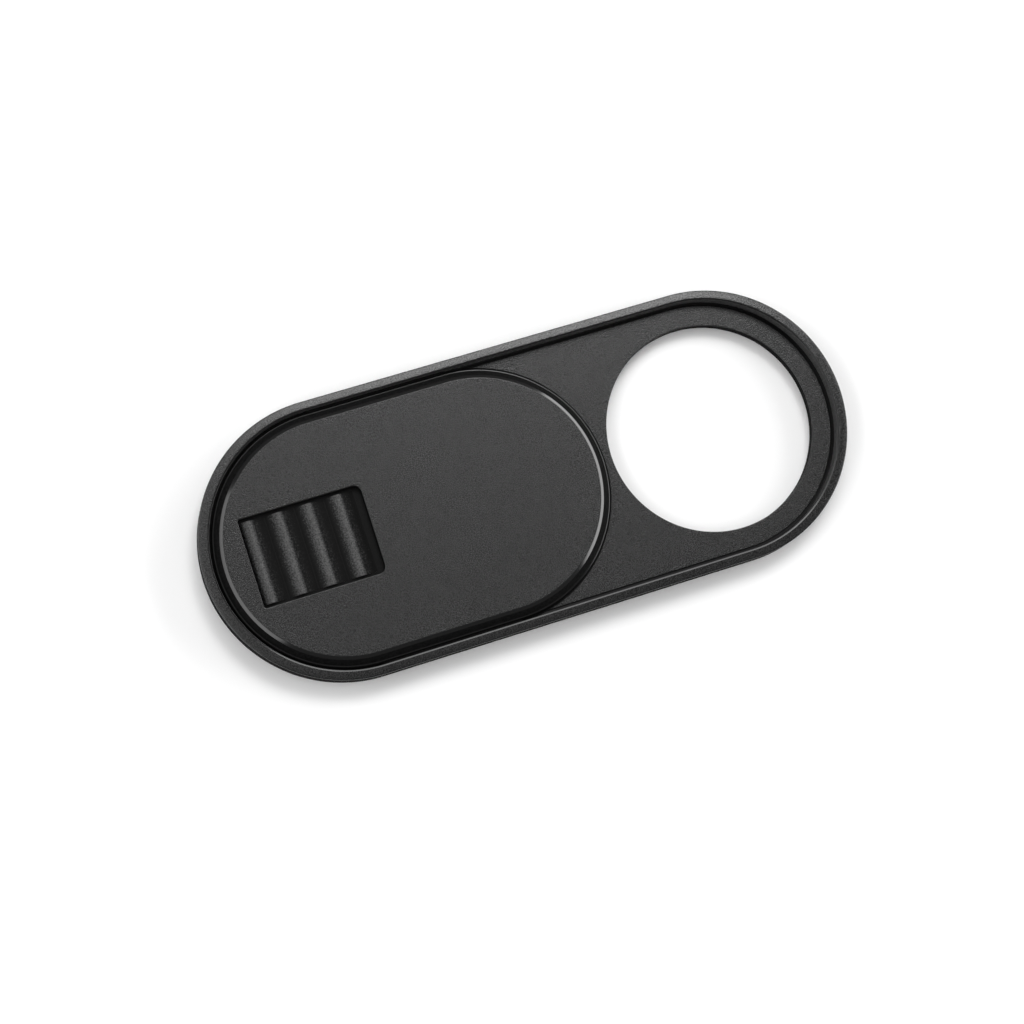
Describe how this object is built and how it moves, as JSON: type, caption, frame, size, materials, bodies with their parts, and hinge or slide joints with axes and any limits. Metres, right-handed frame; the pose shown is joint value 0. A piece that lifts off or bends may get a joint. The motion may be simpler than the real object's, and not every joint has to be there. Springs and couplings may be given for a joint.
{
  "type": "sliding webcam cover",
  "caption": "Pill-shaped stick-on camera cover: a thin rimmed frame with a round lens window and a rounded shutter plate with a ribbed finger grip that slides across it.",
  "frame": {"origin": "centre of the overall outline, on the adhesive face that sticks to the screen bezel", "axes": "+X along the sliding direction from the open shutter towards the lens window, +Y across the cover, +Z out of the face that the user sees"},
  "size_m": [0.0406, 0.017, 0.0016],
  "materials": {
    "frame_plastic": "satin",
    "shutter_plastic": "satin",
    "adhesive": "matt"
  },
  "bodies": {
    "frame": {"base_frame": "frame_plastic", "adhesive_backing": "adhesive"},
    "shutter": {"slider": "shutter_plastic"}
  },
  "joints": [
    {"name": "shutter_slide", "type": "slide", "parent": "frame", "child": "shutter", "axis": [1, 0, 0], "range_m": [0, 0.0147]}
  ]
}
